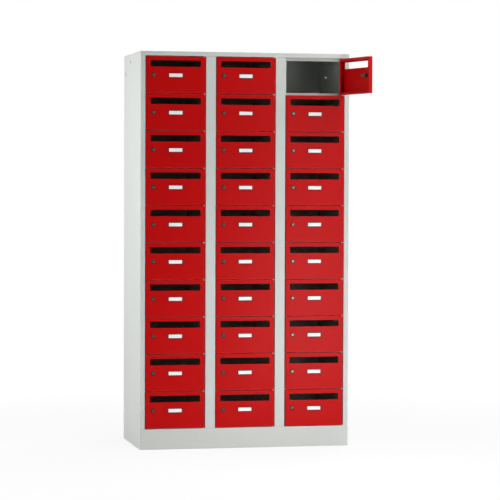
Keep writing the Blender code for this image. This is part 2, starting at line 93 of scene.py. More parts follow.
# Where a door's surface has points: shares of its width, of its height and of the way from slot to edge
PAN_ACROSS = (0, 0.12, 0.3, 0.5, 0.7, 0.88, 1)
PAN_UP = (0, 0.25, 0.5, 0.75, 1)
PAN_OUTWARDS = (0, 0.04, 0.5)

# Mail slot, name card and its holder
SLOT_HEIGHT = 0.0297
SLOT_FROM_TOP = 0.0185
SLOT_SIDE_MARGIN = 0.0215
SLOT_CORNER_RADIUS = 0.0012
CARD_WIDTH = 0.0626
CARD_HEIGHT = 0.0164
CARD_THICKNESS = 0.00035
CARD_RAISE = 0.00088
CARD_BOW = 0.00018
CARD_BOW_LOSS = 0.3
CARD_CELLS = 8
HOLDER_BORDER = 0.0030
HOLDER_BELOW_MIDDLE = 0.0024
HOLDER_CORNER_RADIUS = 0.0022
HOLDER_CORNER_STEPS = 5

# Cam lock
LOCK_FROM_EDGE = 0.035
LOCK_BELOW_MIDDLE = 0.0015
CAM_CLEARANCE = 0.0005
CAM_THICKNESS = 0.002
CAM_OVERLAP = 0.005
CAM_HUB_RADIUS = 0.0085
CAM_HUB_ARC = (math.radians(60), math.radians(300))
CAM_HUB_POINTS = 25
CAM_TIP_WIDTH = 0.009
CAM_TIP_RADIUS = 0.002
CAM_TIP_POINTS = 6

# The lock's turned forms, in millimetres
BORE_RADIUS = 5.35
BARREL_RADIUS = 8.5
THREAD_ROOT = 8.1
THREAD_START = 5.4
THREAD_PITCH = 1.8
THREAD_TURNS = 8
SLIT_WIDTH = 1.2
SLIT_LENGTH = 7.0
SLIT_LIP = 0.3

# Small heads and marks on the sheets
HEAD_SIDES = 24
PLUG_RADIUS = 0.0075
PLUG_HEIGHT = 0.0012
BOLT_RADIUS = 0.0090
BOLT_HEIGHT = 0.0140
WELD_RADIUS = 0.0045
WELD_HEIGHT = 0.0006
WELDS_UP_A_SIDE = 20
WELDS_ALONG_TOP = 10
WELD_SIDE_MARGIN = 0.05
WELD_TOP_MARGIN = 0.06

CLEARANCE = 0.0003
OVERCUT = 0.001
EDGE_BEVEL = 0.0003
LEAST_RADIUS = 0.0002
MM = 0.001
TINY = 1e-6
HOLE_SLACK = 1e-5
DIGITS = 7
AROUND = 48
RAW_EDGE_WEAR = 0.5
SHARP_ANGLE = math.radians(32)

# Places that follow from the sizes above
FRONT = -DEPTH / 2
REAR = DEPTH / 2
LEFT = -WIDTH / 2
RIGHT = WIDTH / 2
INNER_REAR = REAR - 2 * SHEET - 2 * CLEARANCE
CARCASS_TOP = HEIGHT - SHEET - 2 * CLEARANCE
RAIL_BOTTOM = HEIGHT - TOP_RAIL_HEIGHT
ROW_PITCH = (RAIL_BOTTOM - BASE_HEIGHT - DOOR_GAP) / ROWS
STILES_WIDTH = 2 * SIDE_STILE_WIDTH + (len(COLUMNS) - 1) * MIDDLE_STILE_WIDTH
OPENING_WIDTH = (WIDTH - STILES_WIDTH) / len(COLUMNS)
COLUMN_PITCH = OPENING_WIDTH + MIDDLE_STILE_WIDTH
OPENING_LEFT = [LEFT + SIDE_STILE_WIDTH + i * COLUMN_PITCH for i in range(len(COLUMNS))]
OPENING_RIGHT = [x + OPENING_WIDTH for x in OPENING_LEFT]
GAP_LINES = [BASE_HEIGHT + DOOR_GAP / 2 + i * ROW_PITCH for i in range(ROWS + 1)]
SHELF_TOPS = [line + SHELF_RISE for line in reversed(GAP_LINES[1:-1])]
FLOOR_TOP = GAP_LINES[0] + SHELF_RISE
STOP_FRONT = FRONT + DOOR_DEPTH + DOOR_STOP_GAP
STOP_REAR = STOP_FRONT + SHEET
TONGUE_FRONT = FRONT + TONGUE_SETBACK
TONGUE_REAR = INNER_REAR - SHEET - TONGUE_REAR_CUT
RAIL_REAR = FRONT + SHEET + CLEARANCE
PIVOT_Y = FRONT + PIVOT_FROM_FRONT
PIN_HALF_LENGTH = DOOR_GAP / 2 + SHEET + PIN_REACH
PLUG_PLACES = ((LEFT, FRONT + 0.296, 1.8135), (LEFT, FRONT + 0.428, 1.7600))
BOLT_PLACE = (OPENING_RIGHT[-1], FRONT + 0.330, 1.754)

# A door measured from its hinge axis and its middle height
DOOR_WIDTH = OPENING_WIDTH - 2 * DOOR_SIDE_GAP
DOOR_RIGHT = PIVOT_FROM_EDGE
DOOR_LEFT = DOOR_RIGHT - DOOR_WIDTH
DOOR_FRONT = -PIVOT_FROM_FRONT
DOOR_TOP = (ROW_PITCH - DOOR_GAP) / 2
DOOR_MIDDLE = (DOOR_LEFT + DOOR_RIGHT) / 2
SLOT_TOP = DOOR_TOP - SLOT_FROM_TOP
LOCK_X = DOOR_LEFT + LOCK_FROM_EDGE
CAM_FRONT = STOP_REAR - FRONT + CAM_CLEARANCE
CAM_REAR = CAM_FRONT + CAM_THICKNESS
CAM_LENGTH = DOOR_SIDE_GAP + LOCK_FROM_EDGE - STOP_LIP_WIDTH + CAM_OVERLAP

HINGES = {j["child"]: j for j in frame["joints"] if j["child"].startswith("door_")}

# Studio
FLOOR_REACH = 40.0
FLOOR_CELLS = 8
FLOOR_PAINT = (0.60, 0.60, 0.60)
SHADOW_REACH = 2.6
WHITE = (1.0, 1.0, 1.0)
WHITE_SHARE_NEARBY = 0.86
FILL = 0.12
WHITE_BELOW = 0.12
DIM_ABOVE = 0.40
# Each softbox: its name, its place, what it faces, its width and height, its power and its spread
SOFTBOXES = (
    ("side_softbox", (-2.6, -0.35, 1.5), (-0.5, 0.0, 1.3), (1.2, 1.2), 48.0, math.pi),
    ("low_softbox", (0.75, -2.1, 0.50), (0.2, -0.2, 0.60), (0.5, 0.9), 8.0, math.pi),
    ("front_softbox", (0.90, -2.4, 1.45), (0.4, -0.2, 1.40), (0.42, 0.9), 4.5, math.pi),
    ("right_softbox", (1.9, -1.3, 2.3), (0.3, -0.2, 1.5), (0.9, 0.9), 9.0, math.pi),
    ("high_softbox", (1.4, -1.9, 3.2), (0.2, -0.2, 1.2), (1.0, 1.0), 34.0, math.pi),
    ("floor_softbox", (0.1, -1.7, 2.6), (0.1, -1.7, 0.0), (0.8, 0.8), 16.5, 1.5),
    ("rear_softbox", (1.5, 1.7, 3.3), (0.1, 0.24, 1.0), (1.0, 1.0), 75.0, math.pi),
)
CAMERA_PLACE = (-2.155425, -10.257899, 1.238222)
CAMERA_YAW = -0.214076
CAMERA_PITCH = -0.0302937
CAMERA_ROLL = 0.0035185
CAMERA_LENS = 157.7248
CAMERA_SENSOR = 36.0
CAMERA_SIGHT = 200.0


# Surfaces

class Shell:
    """A closed surface: points, four-sided faces, three-sided faces, and how far each point is on a fold."""

    def __init__(self, points, quads, tris=None, fold=None):
        self.points = np.asarray(points, float).reshape(-1, 3)
        self.quads = np.asarray(quads, int).reshape(-1, 4)
        self.tris = np.zeros((0, 3), int) if tris is None else np.asarray(tris, int).reshape(-1, 3)
        self.fold = np.zeros(len(self.points)) if fold is None else np.asarray(fold, float).ravel()

    def outward(self):
        """The same surface with its faces pointing out: the volume under all its triangles is positive."""
        triangles = np.vstack([self.quads[:, [0, 1, 2]], self.quads[:, [0, 2, 3]], self.tris])
        a, b, c = (self.points[triangles[:, k]] for k in range(3))
        if np.einsum("ij,ij->", a, np.cross(b, c)) < 0:
            return Shell(self.points, self.quads[:, ::-1], self.tris[:, ::-1], self.fold)
        return self

    def moved(self, offset, turn=0.0):
        """The surface turned about the upright axis through its own origin, then moved."""
        c, s = math.cos(turn), math.sin(turn)
        matrix = np.array(((c, -s, 0), (s, c, 0), (0, 0, 1)))
        return Shell(self.points @ matrix.T + np.asarray(offset), self.quads, self.tris, self.fold)


def together(shells):
    """Several shells as one set of points and faces."""
    starts = np.cumsum([0] + [len(s.points) for s in shells[:-1]])
    return Shell(
        np.vstack([s.points for s in shells]),
        np.vstack([s.quads + n for s, n in zip(shells, starts)]),
        np.vstack([s.tris + n for s, n in zip(shells, starts)]),
        np.concatenate([s.fold for s in shells]),
    )


def cells(grid):
    """The four corners of each cell of a grid, in their order round the cell."""
    return grid[:-1, :-1], grid[1:, :-1], grid[1:, 1:], grid[:-1, 1:]


def sheet_shell(face, back, keep, fold, ring=False):
    """A sheet between two grids of points, face and back.

    Every kept cell gives one face on each grid. Wherever a kept cell has no kept neighbour, a rim joins the
    two grids. With ring, the first row of points follows the last.
    """
    rows, columns = face.shape[:2]
    count = rows * columns
    number = np.arange(count).reshape(rows, columns)
    none = np.zeros((1, keep.shape[1]), bool)
    if ring:
        number = np.vstack([number, number[:1]])
        before, after = np.roll(keep, 1, axis=0), keep
    else:
        before, after = np.vstack([none, keep]), np.vstack([keep, none])
    face_quads = np.stack(cells(number), -1)[keep]
    lines = len(before)
    near, far = number[:lines, :-1], number[:lines, 1:]
    rims = [
        np.stack([far, near, near + count, far + count], -1)[before & ~after],
        np.stack([near, far, far + count, near + count], -1)[after & ~before],
    ]
    side = np.zeros((keep.shape[0], 1), bool)
    before, after = np.hstack([side, keep]), np.hstack([keep, side])
    near, far = number[:-1], number[1:]
    rims += [
        np.stack([far, near, near + count, far + count], -1)[after & ~before],
        np.stack([near, far, far + count, near + count], -1)[before & ~after],
    ]
    quads = np.vstack([face_quads, face_quads[:, ::-1] + count] + rims)
    used, quads = np.unique(quads, return_inverse=True)
    points = np.concatenate([face.reshape(-1, 3), back.reshape(-1, 3)])[used]
    return Shell(points, quads.reshape(-1, 4), fold=np.tile(fold.ravel(), 2)[used]).outward()


def clear_of(face, notches, ring=False):
    """True for each grid cell whose middle is in none of the notch boxes."""
    middle = sum(cells(np.concatenate([face, face[:1]]) if ring else face)) / 4
    keep = np.ones(middle.shape[:2], bool)
    for low, high in notches:
        keep &= ~np.all((middle > np.asarray(low)) & (middle < np.asarray(high)), axis=-1)
    return keep


def fold_profile(corners, breaks):
    """Points along a folded line, with each point's left normal and how far it is on a fold.

    Each inner corner is a quarter circle. Its radius is the bend radius where the sheet's thickness lies
    inside the bend, and less by the thickness where it lies outside. Straight runs get a point wherever a
    notch border crosses them.
    """
    corners = np.asarray(corners, float)
    runs = np.diff(corners, axis=0)
    lengths = np.linalg.norm(runs, axis=1)
    ways = runs / lengths[:, None]
    lefts = np.stack([-ways[:, 1], ways[:, 0]], 1)
    turns = ways[:-1, 0] * ways[1:, 1] - ways[:-1, 1] * ways[1:, 0]
    radii = np.where(turns > 0, BEND_RADIUS, BEND_RADIUS - SHEET)
    angle = np.linspace(0, math.pi / 2, BEND_STEPS + 1)[1:-1, None]
    points, normals, fold = [], [], []
    for i, way in enumerate(ways):
        start = corners[i] + (way * radii[i - 1] if i else 0)
        end = corners[i + 1] - (way * radii[i] if i < len(radii) else 0)
        axis = int(abs(way[1]) > abs(way[0]))
        low, high = sorted((start[axis], end[axis]))
        crossed = [abs(b - start[axis]) for b in breaks[axis] if low + TINY < b < high - TINY]
        steps = np.unique(np.round([0.0, *crossed, high - low], DIGITS))
        points.append(start + np.outer(steps, way))
        normals.append(np.tile(lefts[i], (len(steps), 1)))
        fold.append(np.zeros(len(steps)))
        if i < len(radii):
            centre = end + lefts[i] * radii[i] * turns[i]
            lean = lefts[i] * np.cos(angle) - turns[i] * way * np.sin(angle)
            points.append(centre - lean * radii[i] * turns[i])
            normals.append(lean)
            fold.append(np.ones(len(lean)))
    return np.vstack(points), np.vstack(normals), np.concatenate(fold)


# Which of X, Y and Z a flat line's two directions and its length follow
PLANES = {"XY": (0, 1, 2), "YZ": (1, 2, 0)}


def folded_sheet(corners, start, end, plane, notches=()):
    """A folded line carried straight from start to end, one sheet thick to its left, with notches cut out."""
    u, v, w = PLANES[plane]
    borders = np.array(notches, float).reshape(-1, 3)
    profile, lean, fold = fold_profile(corners, (borders[:, u], borders[:, v]))
    inside = borders[(borders[:, w] > start + TINY) & (borders[:, w] < end - TINY), w]
    lengths = np.unique(np.round(np.concatenate([[start, end], inside]), DIGITS))
    face = np.empty((len(profile), len(lengths), 3))
    face[..., u] = profile[:, :1]
    face[..., v] = profile[:, 1:]
    face[..., w] = lengths
    back = face.copy()
    back[..., u] += SHEET * lean[:, :1]
    back[..., v] += SHEET * lean[:, 1:]
    return sheet_shell(face, back, clear_of(face, notches), np.repeat(fold[:, None], len(lengths), 1))


def ring_shell(rings, capped=True):
    """Closed rings of equal count joined one to the next.

    Capped, the end rings close on their middle points. Otherwise the last ring joins the first.
    """
    rings = np.asarray(rings, float)
    levels, count = rings.shape[:2]
    number = np.arange(levels * count).reshape(levels, count)
    if not capped:
        number = np.vstack([number, number[:1]])
    after = np.roll(number, -1, axis=1)
    quads = np.stack([number[:-1], number[1:], after[1:], after[:-1]], -1)
    points, tris = rings.reshape(-1, 3), None
    if capped:
        points = np.vstack([points, rings[0].mean(0), rings[-1].mean(0)])
        first, last = (np.full(count, levels * count + end) for end in (0, 1))
        tris = np.vstack([
            np.stack([first, number[0], after[0]], -1),
            np.stack([last, after[-1], number[-1]], -1),
        ])
    return Shell(points, quads, tris).outward()


def circle(count=AROUND):
    """Points of the unit circle."""
    angle = np.arange(count) * 2 * math.pi / count
    return np.stack([np.cos(angle), np.sin(angle)], 1)


def hexagon():
    """Points of the unit circle's hexagon: the apothem over the cosine from the nearest flat's middle."""
    angle = np.arange(AROUND) * 2 * math.pi / AROUND
    sector = math.pi / 3
    reach = math.cos(sector / 2) / np.cos(np.mod(angle, sector) - sector / 2)
    return circle() * reach[:, None]


def stadium(width, length):
    """Points at equal steps round a slit with round ends, from the middle of its right side."""
    radius, half = width / 2, (length - width) / 2
    arc = math.pi * radius
    around = 4 * half + 2 * arc
    step = np.arange(AROUND) / AROUND * around
    borders = [0, half, half + arc, around - half - arc, around - half, around]
    along = np.interp(step, borders, np.array([0, 0, 1, 1, 2, 2]) * math.pi)
    rise = np.interp(step, borders, np.array([0, 1, 1, -1, -1, 0]) * half)
    return np.stack([radius * np.cos(along), rise + radius * np.sin(along)], 1)


def rounded_rectangle(low, high, radius, across=(0.0, 1.0), up=(0.0, 1.0), corner_steps=4):
    """Points round a rectangle with quarter-circle corners.

    Each side has points at the given shares of its straight part, and the corners follow in between.
    """
    across, up = np.asarray(across), np.asarray(up)
    (x0, z0), (x1, z1) = low, high
    run, rise = x1 - x0 - 2 * radius, z1 - z0 - 2 * radius
    angle = np.linspace(0, math.pi / 2, corner_steps + 1)[1:-1]
    arc = np.stack([np.sin(angle), 1 - np.cos(angle)], 1) * radius
    bottom = np.stack([x0 + radius + across * run, np.full(len(across), z0)], 1)
    right = np.stack([np.full(len(up), x1), z0 + radius + up * rise], 1)
    top = np.stack([x0 + radius + across[::-1] * run, np.full(len(across), z1)], 1)
    left = np.stack([np.full(len(up), x0), z0 + radius + up[::-1] * rise], 1)
    return np.vstack([
        bottom, (x1 - radius, z0) + arc,
        right, (x1, z1 - radius) + arc[:, ::-1] * (-1, 1),
        top, (x0 + radius, z1) - arc,
        left, (x0, z0 + radius) + arc[:, ::-1] * (1, -1),
    ])


def upright(flat, level):
    """A flat outline in X and Y, at a height."""
    return np.column_stack([flat, np.full(len(flat), level)])


def facing(flat, depth):
    """A flat outline in X and Z, at a depth behind the door's face."""
    return np.column_stack([flat[:, 0], np.full(len(flat), DOOR_FRONT + depth), flat[:, 1]])


def plate(outline, start, end, place):
    """A flat outline carried from start to end by a place function, its two edges drawn in by a bevel."""
    tangent = np.roll(outline, -1, axis=0) - np.roll(outline, 1, axis=0)
    tangent /= np.linalg.norm(tangent, axis=1, keepdims=True)
    inward = np.stack([-tangent[:, 1], tangent[:, 0]], 1)
    drawn = outline + inward * EDGE_BEVEL
    levels = [(drawn, start), (outline, start + EDGE_BEVEL), (outline, end - EDGE_BEVEL), (drawn, end)]
    return ring_shell([place(flat, level) for flat, level in levels])


def turned(outline, *levels):
    """Rings about a lock's axis: the outline times each level's size, at its depth, in millimetres."""
    sizes, depths = np.array(levels).T[:, :, None] * MM
    x = LOCK_X + sizes * outline[:, 0]
    z = sizes * outline[:, 1] - LOCK_BELOW_MIDDLE
    return np.stack([x, np.broadcast_to(DOOR_FRONT + depths, x.shape), z], -1)


# Carcass

def wall_notches(jamb_left, jamb_right):
    """Notches of a wall: behind the top rail, on the floor of the lowest compartments, and at the shelves."""
    notches = [(
        (LEFT - OVERCUT, FRONT - OVERCUT, RAIL_BOTTOM - CLEARANCE),
        (RIGHT + OVERCUT, RAIL_REAR + CLEARANCE, HEIGHT + OVERCUT),
    ), (
        (jamb_left, STOP_FRONT - CLEARANCE, -OVERCUT),
        (jamb_right, INNER_REAR + OVERCUT, FLOOR_TOP + CLEARANCE),
    )]
    for top in SHELF_TOPS:
        notches.append((
            (jamb_left, TONGUE_FRONT - CLEARANCE, top - SHEET - CLEARANCE),
            (jamb_right, INNER_REAR + OVERCUT, top + CLEARANCE),
        ))
    return notches


def foot_notches(inner_left, inner_right):
    """Notches at a casing's foot: the kick plate passes in front, and the inner wall ends at the ledge."""
    top = BASE_HEIGHT + CLEARANCE
    return [
        ((LEFT - OVERCUT, FRONT - OVERCUT, -OVERCUT), (RIGHT + OVERCUT, RAIL_REAR + CLEARANCE, top)),
        ((inner_left, FRONT, -OVERCUT), (inner_right, INNER_REAR + OVERCUT, top)),
    ]


def stop_lip(jamb):
    """The flat strip behind the doors' free edges, where the cams catch."""
    line = [(jamb, STOP_FRONT), (jamb + STOP_LIP_WIDTH, STOP_FRONT)]
    return folded_sheet(line, BASE_HEIGHT + 2 * CLEARANCE, CARCASS_TOP - CLEARANCE, "XY")


def left_casing():
    """Rear flange, side, stile and inner wall along one folded line, with the stop lip."""
    jamb = OPENING_LEFT[0]
    wall = (jamb - SHEET - CLEARANCE, jamb + STOP_LIP_WIDTH + CLEARANCE)
    line = [
        (LEFT + REAR_FLANGE_WIDTH, REAR), (LEFT, REAR), (LEFT, FRONT), (jamb, FRONT), (jamb, INNER_REAR),
    ]
    notches = wall_notches(*wall) + foot_notches(*wall)
    return together([folded_sheet(line, 0, CARCASS_TOP, "XY", notches), stop_lip(jamb)])


def right_casing():
    """Inner wall, stile, side and rear flange along one folded line."""
    jamb = OPENING_RIGHT[-1]
    wall = (jamb - CLEARANCE, jamb + SHEET + CLEARANCE)
    line = [
        (jamb, INNER_REAR), (jamb, FRONT), (RIGHT, FRONT), (RIGHT, REAR), (RIGHT - REAR_FLANGE_WIDTH, REAR),
    ]
    return folded_sheet(line, 0, CARCASS_TOP, "XY", wall_notches(*wall) + foot_notches(*wall))


def partition(index):
    """Two walls and the stile between them along one folded line, with the next column's stop lip."""
    hinge_jamb, stop_jamb = OPENING_RIGHT[index], OPENING_LEFT[index + 1]
    walls = (hinge_jamb - CLEARANCE, stop_jamb + STOP_LIP_WIDTH + CLEARANCE)
    line = [(hinge_jamb, INNER_REAR), (hinge_jamb, FRONT), (stop_jamb, FRONT), (stop_jamb, INNER_REAR)]
    sheet = folded_sheet(line, BASE_HEIGHT + CLEARANCE, CARCASS_TOP, "XY", wall_notches(*walls))
    return together([sheet, stop_lip(stop_jamb)])


def wall_zones(edge):
    """Where each wall, with its clearance, crosses a full-width sheet that ends at plus and minus edge."""
    starts = [-edge - OVERCUT] + [x - CLEARANCE for x in OPENING_RIGHT]
    ends = [x + CLEARANCE for x in OPENING_LEFT] + [edge + OVERCUT]
    return list(zip(starts, ends))


def shelf():
    """Rear upstand, shelf and turned-down front along one folded line, with tongues through the walls."""
    edge = RIGHT - SIDE_STILE_WIDTH + TONGUE_REACH
    rear = INNER_REAR - SHEET
    bottom, top = -SHELF_FRONT_HEIGHT - OVERCUT, SHELF_REAR_HEIGHT + OVERCUT
    line = [(rear, SHELF_REAR_HEIGHT), (rear, 0), (STOP_FRONT, 0), (STOP_FRONT, -SHELF_FRONT_HEIGHT)]
    notches = []
    for start, end in wall_zones(edge):
        notches.append(((start, FRONT, bottom), (end, TONGUE_FRONT, top)))
        notches.append(((start, TONGUE_REAR, bottom), (end, REAR, top)))
    for jamb in OPENING_LEFT:
        reach = jamb + STOP_LIP_WIDTH + CLEARANCE
        notches.append(((jamb - CLEARANCE, FRONT, bottom), (reach, STOP_REAR + CLEARANCE, top)))
    return folded_sheet(line, -edge, edge, "YZ", notches)


def top_panel():
    """Rear flange, lid, front rail, its underside and the lip above the doors along one folded line."""
    lip_bottom = GAP_LINES[-1] + SHELF_RISE - SHELF_FRONT_HEIGHT
    under_lid = HEIGHT - SHEET - CLEARANCE
    line = [
        (REAR, HEIGHT - REAR_FLANGE_WIDTH), (REAR, HEIGHT), (FRONT, HEIGHT),
        (FRONT, RAIL_BOTTOM), (STOP_FRONT, RAIL_BOTTOM), (STOP_FRONT, lip_bottom),
    ]
    notches = []
    for index, (start, end) in enumerate(wall_zones(RIGHT)):
        lip = STOP_LIP_WIDTH if index < len(COLUMNS) else 0
        notches.append((
            (start, RAIL_REAR + CLEARANCE, lip_bottom - OVERCUT),
            (end + lip, STOP_REAR + OVERCUT, under_lid),
        ))
    corner = REAR_FLANGE_WIDTH + CLEARANCE
    for start, end in ((LEFT - OVERCUT, LEFT + corner), (RIGHT - corner, RIGHT + OVERCUT)):
        low = (start, REAR - BEND_RADIUS, HEIGHT - REAR_FLANGE_WIDTH - OVERCUT)
        notches.append((low, (end, REAR + OVERCUT, HEIGHT - BEND_RADIUS)))
    return folded_sheet(line, LEFT, RIGHT, "YZ", notches)


def base_panel():
    """Floor of the lowest compartments, lip, ledge, kick plate and its flange along one folded line."""
    line = [
        (INNER_REAR, FLOOR_TOP), (STOP_FRONT, FLOOR_TOP), (STOP_FRONT, BASE_HEIGHT),
        (FRONT, BASE_HEIGHT), (FRONT, 0), (FRONT + BASE_FLANGE_WIDTH, 0),
    ]
    side = SHEET + CLEARANCE
    notches = []
    for start, end in ((LEFT - OVERCUT, LEFT + side), (RIGHT - side, RIGHT + OVERCUT)):
        notches.append(((start, FRONT + BEND_RADIUS, -OVERCUT), (end, REAR, FLOOR_TOP + OVERCUT)))
    return folded_sheet(line, LEFT, RIGHT, "YZ", notches)


def cross_rail():
    """A channel on the floor under the base panel, along one folded line."""
    half, top, edge = CROSS_RAIL_WIDTH / 2, FLOOR_TOP - SHEET - CLEARANCE, RIGHT - SHEET - CLEARANCE
    return folded_sheet([(-half, top), (-half, 0), (half, 0), (half, top)], -edge, edge, "YZ")


def back_panel():
    """A flat sheet between the rear flanges and the walls."""
    edge, rear = RIGHT - SHEET - CLEARANCE, REAR - SHEET - CLEARANCE
    return folded_sheet([(edge, rear), (-edge, rear)], 0, CARCASS_TOP, "XY")


def hinge_tabs(jamb):
    """A tab with round corners in each gap between doors, from the jamb to past the pin."""
    x = jamb - DOOR_SIDE_GAP - PIVOT_FROM_EDGE
    reach = PIN_RADIUS + TAB_MARGIN
    low, high = (x - reach, FRONT + CLEARANCE), (jamb + SHEET / 2, PIVOT_Y + reach)
    half = TAB_THICKNESS / 2
    tab = plate(rounded_rectangle(low, high, TAB_CORNER_RADIUS), -half, half, upright)
    return together([tab.moved((0, 0, line)) for line in GAP_LINES])


def hinge_pins(jamb):
    """A turned pin through each tab, with chamfered ends, up into one door and down into the next."""
    axis = (jamb - DOOR_SIDE_GAP - PIVOT_FROM_EDGE, PIVOT_Y)
    shells = []
    for i, line in enumerate(GAP_LINES):
        low = line - (TAB_THICKNESS / 2 if i == 0 else PIN_HALF_LENGTH)
        high = line + (TAB_THICKNESS / 2 if i == ROWS else PIN_HALF_LENGTH)
        levels = [
            (PIN_END_SHARE, low), (1.0, low + PIN_CHAMFER), (1.0, high - PIN_CHAMFER), (PIN_END_SHARE, high),
        ]
        rings = [upright(circle(PIN_SIDES) * PIN_RADIUS * size + axis, level) for size, level in levels]
        shells.append(ring_shell(rings))
    return together(shells)


# Round heads on a sheet: each level's share of the radius and of the height
ROUND_HEAD = ((1.0, 0.0), (1.0, 0.35), (0.93, 0.65), (0.75, 0.88), (0.45, 0.98), (0.15, 1.0))
WELD_MARK = ((1.0, 0.0), (0.95, 0.55), (0.85, 1.0), (0.72, 0.9), (0.5, 0.35), (0.2, 0.2))

# The axis that a head stands along, and its way along it
LEFTWARDS = (0, -1)
REARWARDS = (1, 1)


def head(levels, middle, radius, height, direction):
    """A round head on a flat sheet: rings at shares of a radius and of a height, in a direction."""
    axis, way = direction
    sizes, rises = np.array(levels).T[:, :, None]
    ring = circle(HEAD_SIDES) * radius
    u, v = (k for k in range(3) if k != axis)
    rings = np.empty((len(levels), len(ring), 3))
    rings[..., axis] = middle[axis] + way * height * rises
    rings[..., u] = middle[u] + sizes * ring[:, 0]
    rings[..., v] = middle[v] + sizes * ring[:, 1]
    return ring_shell(rings)


def weld_marks():
    """Spot welds on the rear flanges: a row of shallow rings up each side and one along the top."""
    side, top = RIGHT - REAR_FLANGE_WIDTH / 2, HEIGHT - REAR_FLANGE_WIDTH / 2
    heights = np.linspace(WELD_SIDE_MARGIN, top - WELD_SIDE_MARGIN, WELDS_UP_A_SIDE)
    spots = [(x, z) for x in (-side, side) for z in heights]
    spots += [(x, top) for x in np.linspace(WELD_TOP_MARGIN - side, side - WELD_TOP_MARGIN, WELDS_ALONG_TOP)]
    return together([head(WELD_MARK, (x, REAR, z), WELD_RADIUS, WELD_HEIGHT, REARWARDS) for x, z in spots])


# Doors

def door_pan():
    """A pan drawn round a mail slot.

    Rings pass from the slot's edge over the flat face, round the bend, back along the flanges, round a second
    bend and in along a narrow return. The back grid lies one sheet thickness inside. Square holes take the
    hinge pins.
    """
    run = DOOR_WIDTH - 2 * DOOR_CORNER_RADIUS
    hole = [(side * PIN_HOLE_HALF - DOOR_LEFT - DOOR_CORNER_RADIUS) / run for side in (-1, 1)]
    across = sorted((*PAN_ACROSS, *hole))

    def ring(inset, depth):
        low, high = (DOOR_LEFT + inset, inset - DOOR_TOP), (DOOR_RIGHT - inset, DOOR_TOP - inset)
        radius = max(DOOR_CORNER_RADIUS - inset, LEAST_RADIUS)
        return facing(rounded_rectangle(low, high, radius, across, PAN_UP), depth)

    low = (DOOR_LEFT + SLOT_SIDE_MARGIN, SLOT_TOP - SLOT_HEIGHT)
    high = (DOOR_RIGHT - SLOT_SIDE_MARGIN, SLOT_TOP)
    slot = facing(rounded_rectangle(low, high, SLOT_CORNER_RADIUS, across, PAN_UP), 0)
    bend = [(math.sin(a), math.cos(a)) for a in np.linspace(0, math.pi / 2, BEND_STEPS + 1)]
    outer = DOOR_BEND_RADIUS
    turn = DOOR_DEPTH - outer
    depths = (PIVOT_FROM_FRONT - PIN_HOLE_HALF, PIVOT_FROM_FRONT + PIN_HOLE_HALF, turn)
    grids = []
    for inside in (0, SHEET):
        radius = outer - inside
        rings = [slot * (1 - share) + ring(outer, 0) * share + (0, inside, 0) for share in PAN_OUTWARDS]
        rings += [ring(outer - radius * s, outer - radius * c) for s, c in bend]
        rings += [ring(inside, depth) for depth in depths]
        rings += [ring(outer - radius * c, turn + radius * s) for s, c in bend[1:]]
        rings.append(ring(RETURN_WIDTH, DOOR_DEPTH - inside))
        grids.append(np.stack(rings, 1))
    face, back = grids
    fold = np.zeros(face.shape[1])
    first = len(PAN_OUTWARDS)
    fold[first + 1:first + BEND_STEPS] = 1
    fold[-1 - BEND_STEPS:-2] = 1
    fold[-1] = RAW_EDGE_WEAR
    half = PIN_HOLE_HALF + HOLE_SLACK
    notch = ((-half, -half, -2 * DOOR_TOP), (half, half, 2 * DOOR_TOP))
    keep = clear_of(face, [notch], ring=True)
    return sheet_shell(face, back, keep, np.tile(fold, (len(face), 1)), ring=True)


def lock_housing():
    """Bezel, threaded barrel and hexagon nut: rings about the lock's axis, closed through the bore."""
    bezel = turned(
        circle(), (BORE_RADIUS, -1.7), (7.1, -1.8), (7.6, -2.0), (8.7, -2.0), (9.4, -1.8), (9.85, -1.3),
        (10.0, -0.6), (10.0, 0.0), (BARREL_RADIUS, 0.0), (BARREL_RADIUS, 1.0),
    )
    nut = turned(hexagon(), (12.1, 1.0), (12.5, 1.3), (12.5, 4.6), (11.6, 5.0))
    thread = [(BARREL_RADIUS, 5.0)]
    for start in THREAD_START + THREAD_PITCH * np.arange(THREAD_TURNS):
        thread += [(BARREL_RADIUS, start), (THREAD_ROOT, start + 0.5)]
        thread += [(THREAD_ROOT, start + 0.9), (BARREL_RADIUS, start + 1.4)]
    end = (CAM_FRONT - CLEARANCE) / MM
    thread += [(BARREL_RADIUS, end - 0.4), (THREAD_ROOT, end), (BORE_RADIUS, end)]
    return ring_shell(np.concatenate([bezel, nut, turned(circle(), *thread)]), capped=False)


def lock_plug():
    """Head with its key slit, and the plug behind it: rings about the lock's axis."""
    slit = turned(stadium(SLIT_WIDTH, SLIT_LENGTH), (1, -2.8), (1, -3.4))
    lip = turned(stadium(SLIT_WIDTH + SLIT_LIP, SLIT_LENGTH + SLIT_LIP), (1, -3.5))
    plug = turned(
        circle(), (5.9, -3.5), (6.4, -3.42), (6.7, -3.2), (6.8, -2.9), (6.8, -2.3), (5.0, -2.3),
        (5.0, CAM_FRONT / MM),
    )
    return ring_shell(np.concatenate([slit, lip, plug]))


